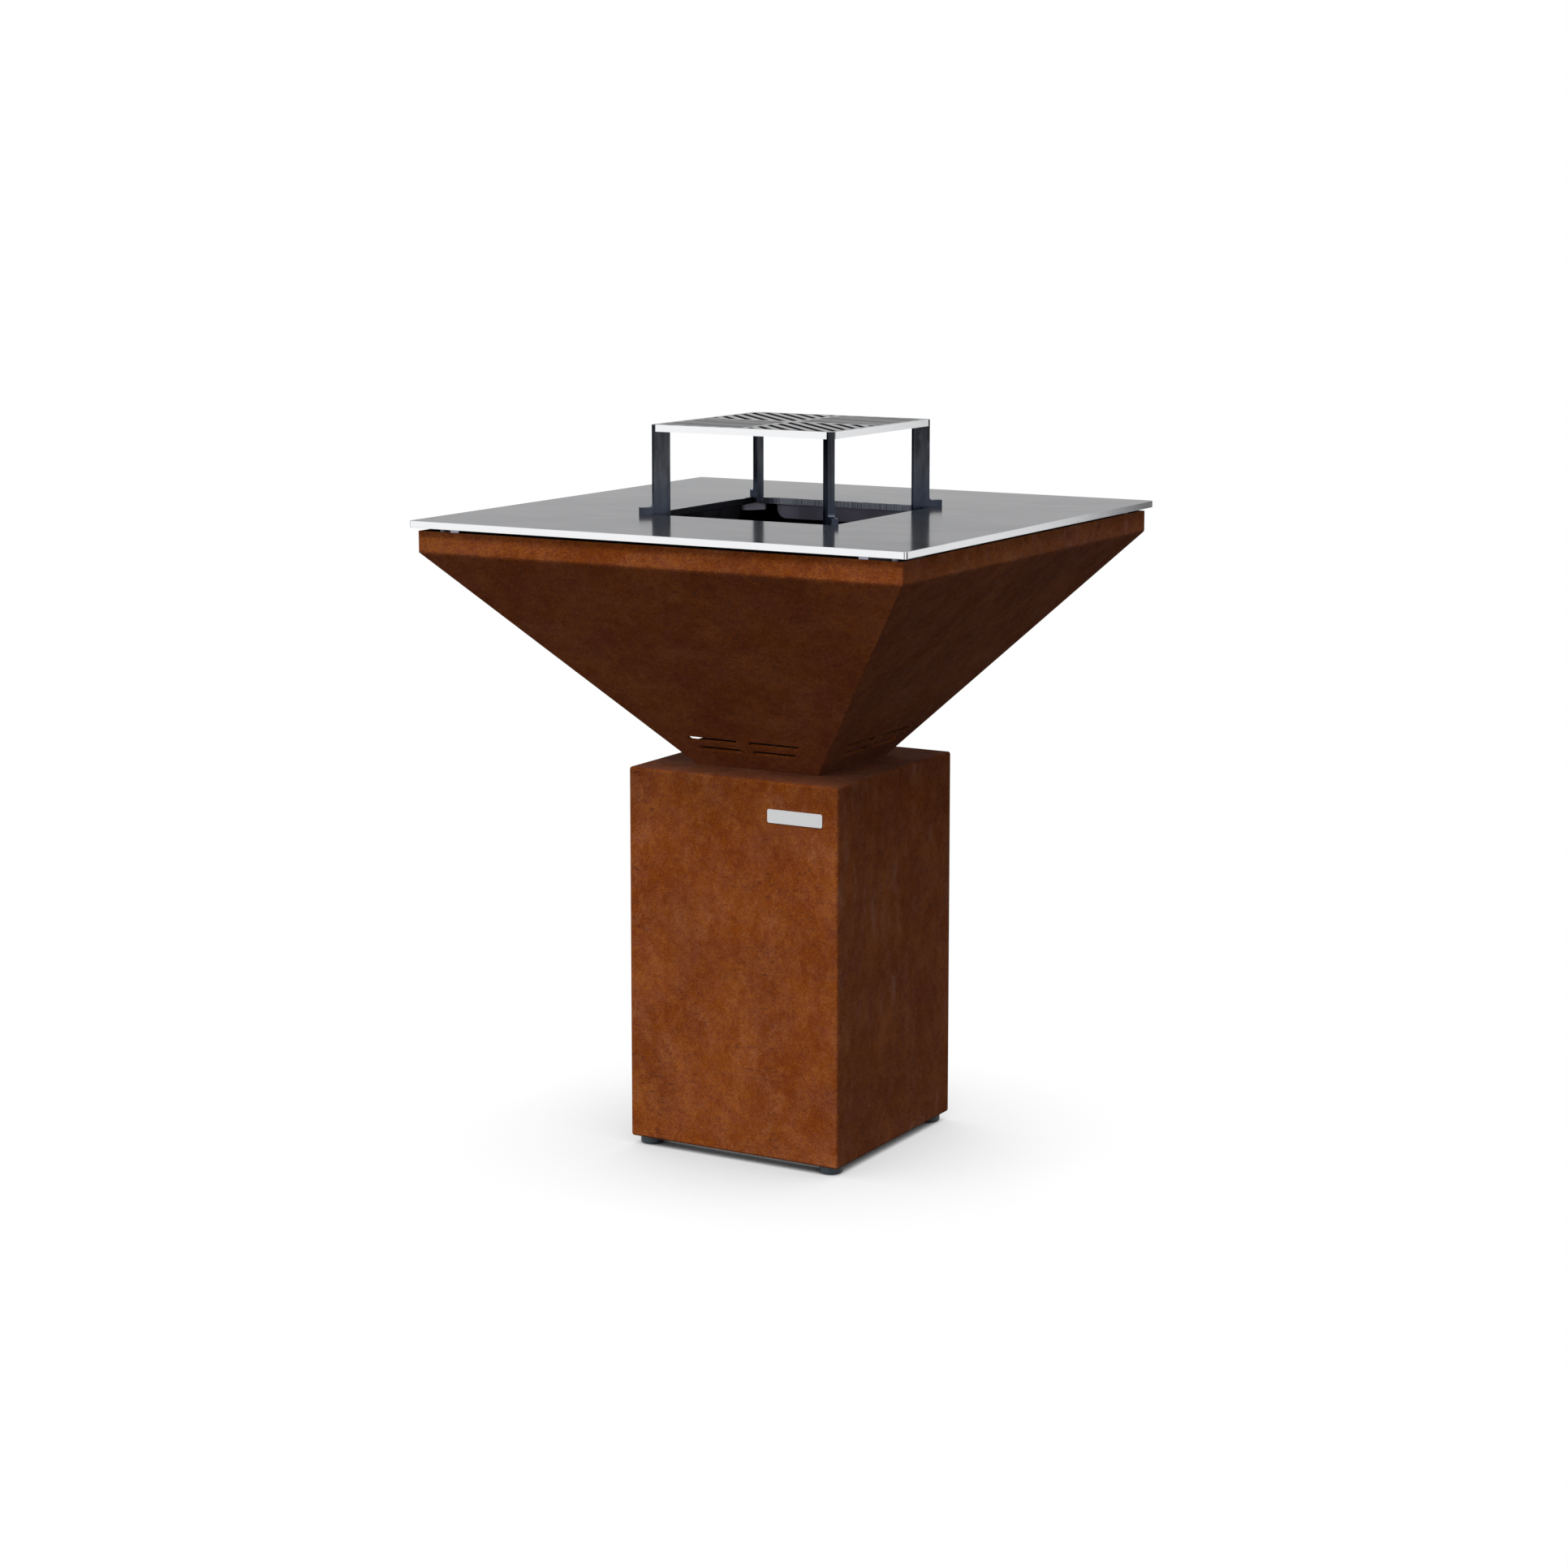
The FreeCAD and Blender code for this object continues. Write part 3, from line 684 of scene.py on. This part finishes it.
def ground_steel(name, inner_reach, sheen, cut_colour):
    """Ground steel with a sheen at low angles, with laser-cut walls inside a reach and smooth
    bright edges outside it. The cut walls are painted lighter where they face the front, and
    near black as shade elsewhere."""
    material, place = new_material(name, Specular_Tint=(sheen, sheen, sheen * 1.02, 1))
    sides = side_faces(place)
    cuts = sides * (1 - share(reach_out(place), inner_reach, inner_reach + cut_blend))
    cloud = share(mottle(place, 0.11, 7, 0.6, (1.8, 1, 1)), 0.35, 0.65)
    grinding = mottle(place, 0.0007, 3, 0.6, (50, 1, 1))
    laser = share(mottle(place, 0.0016, 3, 0.7, (1, 1, 200)), 0.30, 0.70)
    colour = cloud.colour((0.51, 0.52, 0.535, 1), (0.67, 0.675, 0.68, 1))
    colour = (sides * (0.93 + 0.07 * laser)).colour(colour, (0.90, 0.905, 0.92, 1))
    # Cut walls that face the front take the cut colour as painted light; the rest go near black as painted
    # shade.
    front_wall_light = 0.15 + 0.85 * share(faces_way(place, (0, -1, 0)), 0.3, 0.7)
    colour = cuts.colour(colour, (front_wall_light * (0.3 + 0.7 * laser)).colour((0.006, 0.007, 0.010, 1), cut_colour))
    colour.feeds("Base Color")
    (0.97 - 0.45 * cuts).feeds("Metallic")
    (0.12 + 0.03 * grinding * (1 - sides) + 0.02 * laser * sides + 0.15 * cuts).feeds("Roughness")
    height = (1 - sides) * grinding * 0.06 + laser * (sides * 0.08 + cuts * 0.92)
    relief(height, 0.00006, 0.5).feeds("Normal")
    return material


hole_reach = 0.20           # between the hole's walls and the plate's outer edges
paint("cooking_plate", ground_steel("ground plate steel", hole_reach, 0.34, (0.34, 0.36, 0.43, 1)))


# ---- Ribs, corner blocks and locating pins, all welded under the cooking plate. The ribs have a
# ---- smooth dark mill skin, painted darker still with shade on the left and right ribs, and the
# ---- blocks and pins take a bright copy of the same skin as painted light.

def mill_skin(name, dark, light):
    """Smooth rolled steel that goes between two colours."""
    material, place = new_material(name, Metallic=0.2, Specular_IOR_Level=0.3,
                                   Specular_Tint=(0.6, 0.6, 0.65, 1))
    skin = share(mottle(place, 0.050, 5, 0.5, (1, 1, 2)), 0.35, 0.65)
    scratches = mottle(place, 0.0012, 4, 0.6, (12, 12, 1))
    skin.colour(dark, light).feeds("Base Color")
    (0.24 + 0.10 * skin).feeds("Roughness")
    relief(scratches * 0.5 + skin * 0.5, 0.00005, 0.4).feeds("Normal")
    return material


dark_skin = mill_skin("dark mill skin", (0.092, 0.089, 0.115, 1), (0.108, 0.104, 0.135, 1))
# A darker copy of the skin for the left and right ribs: painted shade.
shaded_skin = mill_skin("shaded mill skin", (0.020, 0.019, 0.024, 1), (0.030, 0.028, 0.036, 1))
# A bright copy of the skin for the corner blocks and pins: painted light.
lit_skin = mill_skin("lit mill skin", (0.78, 0.76, 0.93, 1), (0.84, 0.82, 0.98, 1))
for side, skin in zip(SIDES, (dark_skin, shaded_skin, dark_skin, shaded_skin)):
    paint("plate_rib_" + side, skin)
paint("locating_pins", lit_skin)
for corner in CORNERS:
    paint("corner_block_" + corner, lit_skin)

stitch_length = 0.030
stitch_radius = 0.0020
stitch_places = (-0.6, 0.0, 0.6)    # from the middle of a rib to its end
stitches = []
for side in SIDES:
    rib_low, rib_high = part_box("plate_rib_" + side)
    outwards = -Vector(ways_in[side])
    along = Vector((abs(outwards.y), abs(outwards.x), 0))
    reach = (rib_high - rib_low) / 2
    outer_face = outwards * abs(outwards.dot(reach))
    foot_of_rib = middle("plate_rib_" + side) + outer_face + Vector((0, 0, reach.z))
    half_stitch = along * stitch_length / 2
    for place_along in stitch_places:
        spot = foot_of_rib + along * (along.dot(reach) * place_along)
        stitches.append(weld_bead(spot - half_stitch, spot + half_stitch, stitch_radius))
finish_piece(joined("rib_welds", *stitches), dark_skin, "mill_steel", "cooking_plate")


# ---- Grate legs: 10 mm flats that stand on the plate and hook into the corners of the hole.
# ---- Their mill scale is blue-black, with upright smears, and paler to the left. Painted shade makes
# ---- them darker under the grate, a painted reflection of the plate makes them bluer near it, and
# ---- painted glints of the sky lighten their faces that look up.

leg_scale, place = new_material("blue-black leg scale", Metallic=1.0, Specular_Tint=(0.40, 0.42, 0.47, 1))
smears = share(mottle(place, 0.010, 7, 0.60, (1, 1, 7)), 0.35, 0.68)
marks = share(mottle(place, 0.014, 8, 0.7, (1, 1, 2.5)), 0.52, 0.70)
blue_reach = 0.075          # up from the legs' lowest point
dark_span = (0.045, 0.010)  # from the lowest point, and to the top
pale_reach = 0.14           # to both sides of the middle
leg_low, leg_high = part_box("grate_leg_front_right")
across = place.node("ShaderNodeSeparateXYZ", {"Vector": place}, output=0)
level = place.node("ShaderNodeSeparateXYZ", {"Vector": place}, output=2)
# Painted reflection of the plate: bluer and lighter towards the legs' feet.
plate_reflection = 1 - share(level, leg_low.z, leg_low.z + blue_reach)
# Painted shade: darker up towards the grate.
shade_under_grate = share(level, leg_low.z + dark_span[0], leg_high.z - dark_span[1])
to_left = 1 - share(across, -pale_reach, pale_reach)
# Painted glint of the sky on the faces that look up.
sky_glint = share(faces_way(place, (0, 0, 1)), 0.2, 0.8)
colour = smears.colour((0.033, 0.035, 0.040, 1), (0.072, 0.077, 0.088, 1))
colour = (to_left * 0.45).colour(colour, smears.colour((0.09, 0.095, 0.108, 1), (0.19, 0.20, 0.225, 1)))
colour = darkened(colour, 1 - 0.5 * shade_under_grate)
colour = (plate_reflection * 0.7).colour(colour, (0.058, 0.071, 0.112, 1))
colour = (marks * 0.5).colour(colour, (0.085, 0.095, 0.115, 1))
colour = sky_glint.colour(colour, (0.17, 0.19, 0.24, 1))
colour.feeds("Base Color")
(0.24 + 0.12 * smears).feeds("Roughness")
relief(smears, 0.00006, 0.5).feeds("Normal")
for corner in CORNERS:
    paint("grate_leg_" + corner, leg_scale)


# ---- Cooking grate: a flat square of the same ground steel, laser-cut with slots that run out
# ---- along both diagonals. It lies on the four legs, whose lips stand in its corner notches.

cuts_inset = 0.006          # between the grate's outer edges and its slots
cuts_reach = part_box("cooking_grate")[1].x - cuts_inset
paint("cooking_grate", ground_steel("ground grate steel", cuts_reach, 0.30, (0.05, 0.05, 0.055, 1)))
